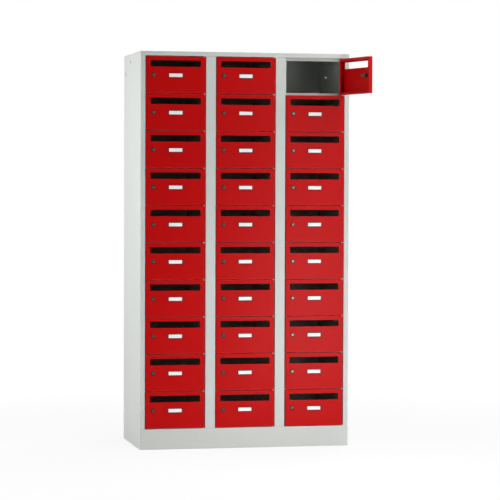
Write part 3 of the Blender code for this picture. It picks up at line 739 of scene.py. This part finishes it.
def lock_cam():
    """The cam, a plate with a round hub and a narrow tip, and the washer and screw that hold it."""
    hub = np.linspace(*CAM_HUB_ARC, CAM_HUB_POINTS)
    hub = np.stack([np.cos(hub), np.sin(hub)], 1) * CAM_HUB_RADIUS
    angle = np.linspace(0, math.pi / 2, CAM_TIP_POINTS)
    arc = np.stack([np.sin(angle), -np.cos(angle)], 1) * CAM_TIP_RADIUS
    low_corner = (CAM_LENGTH - CAM_TIP_RADIUS, CAM_TIP_RADIUS - CAM_TIP_WIDTH / 2) + arc
    high_corner = low_corner[::-1] * (1, -1)
    outline = np.vstack([hub, low_corner, high_corner]) + (LOCK_X, -LOCK_BELOW_MIDDLE)
    rear = CAM_REAR / MM
    washer = turned(circle(), (5.6, rear), (5.8, rear + 0.15), (5.8, rear + 0.45), (5.5, rear + 0.6))
    screw = turned(hexagon(), (4.0, rear + 0.6), (4.0, rear + 2.7))
    dimple = turned(circle(), (3.4, rear + 3.0), (2.2, rear + 3.0), (1.9, rear + 2.6))
    return together([
        plate(outline, CAM_FRONT, CAM_REAR, facing),
        ring_shell(np.concatenate([washer, screw, dimple])),
    ])


def card_holder():
    """A dish with a rounded rim: rings from its flat back over the rim to the recess for the card."""
    insets_and_depths = np.array((
        (0.0, 0.0), (0.0, -0.9), (0.15, -1.25), (0.5, -1.45), (1.4, -1.5), (2.4, -1.45), (2.75, -1.25),
        (2.9, -0.9), (2.9, -0.5),
    )) * MM
    middle = np.array((DOOR_MIDDLE, -HOLDER_BELOW_MIDDLE))
    half_size = np.array((CARD_WIDTH, CARD_HEIGHT)) / 2 + HOLDER_BORDER
    rings = []
    for inset, depth in insets_and_depths:
        low, high = middle - half_size + inset, middle + half_size - inset
        radius = max(HOLDER_CORNER_RADIUS - inset, LEAST_RADIUS)
        rings.append(facing(rounded_rectangle(low, high, radius, corner_steps=HOLDER_CORNER_STEPS), depth))
    return ring_shell(rings)


def name_card():
    """A thin card in the recess, bowed forward by a parabola across its height that flattens to its ends."""
    half_width, half_height = CARD_WIDTH / 2, CARD_HEIGHT / 2
    x = np.linspace(-half_width, half_width, CARD_CELLS + 1)[:, None]
    z = np.linspace(-half_height, half_height, CARD_CELLS + 1)[None, :]
    bow = CARD_BOW * (1 - (z / half_height) ** 2) * (1 - CARD_BOW_LOSS * (x / half_width) ** 2)
    y = DOOR_FRONT - CARD_RAISE - bow
    face = np.stack([DOOR_MIDDLE + x + 0 * z, y, z - HOLDER_BELOW_MIDDLE + 0 * x], -1)
    back = face + (0, CARD_THICKNESS, 0)
    keep = np.ones((CARD_CELLS, CARD_CELLS), bool)
    return sheet_shell(face, back, keep, np.zeros(face.shape[:2]))


# Finishes

class Wire:
    """A socket in a node tree. Arithmetic on wires adds Math nodes, and node() adds any other node."""

    def __init__(self, tree, socket=None):
        self.tree = tree
        self.socket = socket

    def node(self, kind, settings=None, inputs=None, output=0):
        """A node of that type: settings first, then a number, colour or wire for each named input."""
        made = self.tree.nodes.new(kind)
        for name, value in (settings or {}).items():
            setattr(made, name, value)
        for key, value in (inputs or {}).items():
            if isinstance(value, Wire):
                self.tree.links.new(value.socket, made.inputs[key])
            else:
                made.inputs[key].default_value = value
        return Wire(self.tree, made.outputs[output] if made.outputs else None)

    def maths(self, operation, other):
        """A Math node on this wire and another wire or number."""
        return self.node("ShaderNodeMath", {"operation": operation}, {0: self, 1: other})

    def __add__(self, other):
        return self.maths("ADD", other)

    __radd__ = __add__

    def __sub__(self, other):
        return self.maths("SUBTRACT", other)

    def __mul__(self, other):
        return self.maths("MULTIPLY", other)

    __rmul__ = __mul__

    def clipped(self):
        """The value held between 0 and 1."""
        return self.node("ShaderNodeClamp", None, {"Value": self})

    def mix(self, first, second):
        """Two colours mixed by this value."""
        settings = {"data_type": "RGBA", "blend_type": "MIX"}
        return self.node("ShaderNodeMix", settings, {0: self, 6: first, 7: second}, output=2)

    def noise(self, scale, detail=2.0, roughness=0.5):
        """Smooth noise over this position, from 0 to 1."""
        inputs = {"Vector": self, "Scale": scale, "Detail": detail, "Roughness": roughness}
        return self.node("ShaderNodeTexNoise", None, inputs)

    def stretched(self, scale):
        """This position scaled along each axis."""
        return self.node("ShaderNodeMapping", None, {"Vector": self, "Scale": scale})

    def bump(self, strength, distance):
        """The surface's normal, bumped by this height."""
        inputs = {"Strength": strength, "Distance": distance, "Height": self}
        return self.node("ShaderNodeBump", None, inputs)

    def to_surface(self, output="ShaderNodeOutputMaterial"):
        """Leads this shader to the output of its material or world."""
        self.node(output, None, {"Surface": self})


def rgba(colour):
    """A colour with full opacity."""
    return (*colour, 1.0)


def shaded(colour, share):
    """A colour made lighter or darker by a share."""
    return rgba(channel * share for channel in colour)


def new_finish(name):
    """An empty material, and the wire of each point's place on its object."""
    material = bpy.data.materials.new(name)
    material.use_nodes = True
    material.node_tree.nodes.clear()
    return material, Wire(material.node_tree).node("ShaderNodeTexCoord", output=3)


def powder_coat(name, colour, gloss, shine, bare):
    """Baked powder paint: orange-peel bump, faint cloudiness, and a thinner, paler film on the folds."""
    material, place = new_finish(name)
    clouds = place.noise(2.6, 3.0, 0.55)
    grain = place.noise(95.0, 2.0, 0.6)
    peel = place.noise(520.0, 2.0, 0.45)
    speck = place.noise(1700.0, 1.0, 0.5)
    fold = place.node("ShaderNodeAttribute", {"attribute_name": "fold"}, output=2)
    tone = (0.72 * clouds + 0.28 * grain).mix(shaded(colour, 0.93), shaded(colour, 1.07))
    paler = rgba(channel + bare * (0.5 - channel) for channel in colour)
    film = (fold * (0.25 + 0.75 * grain) * 0.55).clipped()
    place.node("ShaderNodeBsdfPrincipled", None, {
        "Base Color": film.mix(tone, paler),
        "Roughness": gloss + 0.10 * (grain - 0.5) + 0.05 * (clouds - 0.5),
        "Specular IOR Level": shine,
        "Normal": (0.75 * peel + 0.25 * speck).bump(0.22, 0.0002),
    }).to_surface()
    return material


def plated_metal(name, colour, gloss, mottle):
    """Plated steel: fine streaks drawn out along the height, and slow mottling of tone and gloss."""
    material, place = new_finish(name)
    streaks = place.stretched((2600.0, 2600.0, 240.0)).noise(1.0, 2.0, 0.6)
    patches = place.noise(160.0, 2.0, 0.5)
    tone = (0.5 * streaks + 0.5 * patches).mix(shaded(colour, 1 - mottle), shaded(colour, 1 + mottle))
    place.node("ShaderNodeBsdfPrincipled", None, {
        "Base Color": tone,
        "Roughness": gloss + 0.16 * (streaks - 0.5) + 0.10 * (patches - 0.5),
        "Metallic": 1.0,
        "Normal": streaks.bump(0.12, 0.00005),
    }).to_surface()
    return material


def card_stock(name, colour):
    """White card: long fibres, a soft tooth and a slow change of tone."""
    material, place = new_finish(name)
    fibres = place.stretched((300.0, 300.0, 1400.0)).noise(1.0, 3.0, 0.6)
    tooth = place.noise(2200.0, 2.0, 0.5)
    tone = (0.6 * fibres + 0.4 * place.noise(24.0)).mix(shaded(colour, 0.96), shaded(colour, 1.03))
    place.node("ShaderNodeBsdfPrincipled", None, {
        "Base Color": tone,
        "Roughness": 0.62 + 0.12 * tooth,
        "Normal": (fibres + tooth).bump(0.15, 0.00004),
    }).to_surface()
    return material


def moulded_plastic(name, colour, gloss, shine):
    """Moulded plastic: a fine spark-eroded grain and faint flow marks."""
    material, place = new_finish(name)
    grain = place.noise(1500.0, 2.0, 0.6)
    flow = place.noise(60.0, 2.0, 0.5)
    tone = (0.5 * grain + 0.5 * flow).mix(shaded(colour, 0.85), shaded(colour, 1.15))
    place.node("ShaderNodeBsdfPrincipled", None, {
        "Base Color": tone,
        "Roughness": gloss + 0.1 * (flow - 0.5),
        "Specular IOR Level": shine,
        "Normal": grain.bump(0.25, 0.00006),
    }).to_surface()
    return material


RED_PAINT = powder_coat("red_paint", (0.51, 0.0004, 0.0008), 0.32, 0.10, 0.06)
GREY_PAINT = powder_coat("light_grey_paint", (0.62, 0.645, 0.62), 0.42, 0.15, 0.05)
NICKEL = plated_metal("lock_steel", (0.084, 0.081, 0.074), 0.16, 0.12)
CAM_STEEL = plated_metal("cam_steel", (0.15, 0.143, 0.128), 0.32, 0.12)
DARK_STEEL = plated_metal("housing_steel", (0.030, 0.027, 0.024), 0.42, 0.15)
ZINC = plated_metal("pin_zinc", (0.62, 0.63, 0.64), 0.38, 0.14)
CARD = card_stock("white_card", (0.955, 0.955, 0.945))
HOLDER = moulded_plastic("holder_black", (0.014, 0.012, 0.012), 0.45, 0.15)
PLUG_GREY = moulded_plastic("hole_plug_grey", (0.36, 0.38, 0.36), 0.45, 0.4)
BRIGHT_STEEL = plated_metal("bolt_steel", (0.95, 0.96, 0.95), 0.16, 0.03)


# Pieces

def add_mesh(name, shell):
    """An object at the origin from a shell, smooth on its bends and sharp at its edges."""
    mesh = bpy.data.meshes.new(name)
    mesh.vertices.add(len(shell.points))
    mesh.vertices.foreach_set("co", shell.points.ravel())
    loops = np.concatenate([shell.quads.ravel(), shell.tris.ravel()])
    mesh.loops.add(len(loops))
    mesh.loops.foreach_set("vertex_index", loops)
    starts = np.concatenate([
        4 * np.arange(len(shell.quads)),
        4 * len(shell.quads) + 3 * np.arange(len(shell.tris)),
    ])
    mesh.polygons.add(len(starts))
    mesh.polygons.foreach_set("loop_start", starts)
    mesh.update(calc_edges=True)
    mesh.attributes.new("fold", "FLOAT", "POINT").data.foreach_set("value", shell.fold)
    mesh.shade_smooth()
    mesh.set_sharp_from_angle(angle=SHARP_ANGLE)
    item = bpy.data.objects.new(name, mesh)
    bpy.context.scene.collection.objects.link(item)
    return item


def add_piece(name, shell, finish, body, node=None):
    """A piece of the cabinet that rides on a body, with its finish and the solid that it stands for."""
    item = add_mesh(name, shell)
    item.data.materials.append(finish)
    even = item.modifiers.new("even_shading", "WEIGHTED_NORMAL")
    even.keep_sharp = True
    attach(item, body)
    if node:
        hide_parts(node)


def add_carcass():
    """All the grey sheets, the hinge tabs and pins, and the small heads on the sheets."""
    sheets = {
        "left_casing": left_casing(), "right_casing": right_casing(),
        "partition_left_middle": partition(0), "partition_middle_right": partition(1),
        "top_panel": top_panel(), "base_panel": base_panel(),
        "base_cross_rail": cross_rail(), "back_panel": back_panel(),
    }
    shelf_sheet = shelf()
    for number, height in enumerate(SHELF_TOPS, start=1):
        sheets[f"shelf_{number}"] = shelf_sheet.moved((0, 0, height))
    for node, shell in sheets.items():
        add_piece(f"{node}_sheet", shell, GREY_PAINT, "carcass", node)
    for column, jamb in zip(COLUMNS, OPENING_RIGHT):
        add_piece(f"hinge_tabs_{column}", hinge_tabs(jamb), GREY_PAINT, "carcass")
        add_piece(f"hinge_pins_{column}", hinge_pins(jamb), ZINC, "carcass")
    plugs = [head(ROUND_HEAD, place, PLUG_RADIUS, PLUG_HEIGHT, LEFTWARDS) for place in PLUG_PLACES]
    add_piece("side_hole_plugs", together(plugs), PLUG_GREY, "carcass")
    bolt = head(ROUND_HEAD, BOLT_PLACE, BOLT_RADIUS, BOLT_HEIGHT, LEFTWARDS)
    add_piece("compartment_bolt", bolt, BRIGHT_STEEL, "carcass")
    add_piece("rear_weld_marks", weld_marks(), GREY_PAINT, "carcass")


def add_doors():
    """Each door with its lock, card holder and card, turned about its hinge as it stands at rest."""
    pan, housing, plug, cam = door_pan(), lock_housing(), lock_plug(), lock_cam()
    holder, card = card_holder(), name_card()
    for door, hinge in HINGES.items():
        place, turn = hinge["pos_m"], -math.radians(hinge["range_deg"][0])
        lock = door.replace("door_", "lock_")
        lock_body, lock_node = (lock, lock) if lock in frame["nodes"] else (door, None)
        add_piece(f"{door}_pan", pan.moved(place, turn), RED_PAINT, door, door)
        add_piece(f"{door}_lock_housing", housing.moved(place, turn), DARK_STEEL, door)
        add_piece(f"{door}_lock_plug", plug.moved(place, turn), NICKEL, lock_body, lock_node)
        add_piece(f"{door}_lock_cam", cam.moved(place, turn), CAM_STEEL, lock_body)
        add_piece(f"{door}_card_holder", holder.moved(place, turn), HOLDER, door)
        add_piece(f"{door}_name_card", card.moved(place, turn), CARD, door)


# Stage

def seen_directly(start):
    """1 on rays from the camera, a mirror or glass, and 0 on the rays that carry light."""
    path = start.tree.nodes.new("ShaderNodeLightPath")
    names = ("Is Camera Ray", "Is Glossy Ray", "Is Transmission Ray")
    camera, glossy, transmitted = (Wire(start.tree, path.outputs[name]) for name in names)
    return (camera + glossy + transmitted).clipped()


def floor_finish():
    """A white floor: paint that keeps the shadow near the cabinet, and plain white farther out."""
    material, place = new_finish("studio_floor")
    away = place.node("ShaderNodeVectorMath", {"operation": "LENGTH"}, {0: place}, output=1)
    far = (away * (1 / SHADOW_REACH)).clipped()
    share = (WHITE_SHARE_NEARBY + (1 - WHITE_SHARE_NEARBY) * far) * seen_directly(place)
    paint = place.node("ShaderNodeBsdfDiffuse", None, {"Color": rgba(FLOOR_PAINT)})
    white = place.node("ShaderNodeEmission", None, {"Color": rgba(WHITE), "Strength": 1.0})
    place.node("ShaderNodeMixShader", None, {0: share, 1: paint, 2: white}).to_surface()
    return material


def add_floor():
    """A flat grid of points on the floor."""
    line = np.linspace(-FLOOR_REACH, FLOOR_REACH, FLOOR_CELLS + 1)
    x, y = np.meshgrid(line, line, indexing="ij")
    number = np.arange(x.size).reshape(x.shape)
    shell = Shell(np.stack([x, y, np.zeros_like(x)], -1), np.stack(cells(number), -1))
    floor = add_mesh("studio_floor", shell)
    floor.data.materials.append(floor_finish())


def add_world():
    """White round the horizon to the eye, dimmer overhead, and an even soft fill for the light."""
    world = bpy.data.worlds.new("studio")
    world.use_nodes = True
    world.node_tree.nodes.clear()
    start = Wire(world.node_tree)
    way = start.node("ShaderNodeTexCoord", output=0)
    rise = start.node("ShaderNodeSeparateXYZ", None, {0: way}, output=2)
    low = start.node("ShaderNodeMapRange", {"interpolation_type": "SMOOTHSTEP"}, {
        "Value": rise, "From Min": WHITE_BELOW, "From Max": DIM_ABOVE, "To Min": 1.0, "To Max": 0.0,
    })
    strength = seen_directly(start) * low * (1 - FILL) + FILL
    shade = start.node("ShaderNodeBackground", None, {"Color": rgba(WHITE), "Strength": strength})
    shade.to_surface("ShaderNodeOutputWorld")
    bpy.context.scene.world = world


def add_softbox(name, place, target, size, power, spread):
    """A rectangular soft light that faces its target, with the angle that its light spreads over."""
    light = bpy.data.lights.new(name, "AREA")
    light.shape = "RECTANGLE"
    light.size, light.size_y = size
    light.energy = power
    light.spread = spread
    item = bpy.data.objects.new(name, light)
    item.location = place
    item.rotation_euler = (Vector(target) - Vector(place)).to_track_quat("-Z", "Y").to_euler()
    bpy.context.scene.collection.objects.link(item)


def add_camera():
    """A camera turned by yaw about the upright, then by pitch and roll."""
    data = bpy.data.cameras.new("photo_camera")
    data.sensor_width = CAMERA_SENSOR
    data.lens = CAMERA_LENS
    data.clip_end = CAMERA_SIGHT
    camera = bpy.data.objects.new("photo_camera", data)
    yaw = Matrix.Rotation(CAMERA_YAW, 4, "Z")
    pitch = Matrix.Rotation(math.pi / 2 + CAMERA_PITCH, 4, "X")
    roll = Matrix.Rotation(CAMERA_ROLL, 4, "Z")
    camera.matrix_world = Matrix.Translation(CAMERA_PLACE) @ (yaw @ pitch @ roll)
    bpy.context.scene.collection.objects.link(camera)
    bpy.context.scene.camera = camera


add_carcass()
add_doors()
add_floor()
add_world()
for softbox in SOFTBOXES:
    add_softbox(*softbox)
add_camera()
bpy.context.scene.view_settings.view_transform = "Standard"
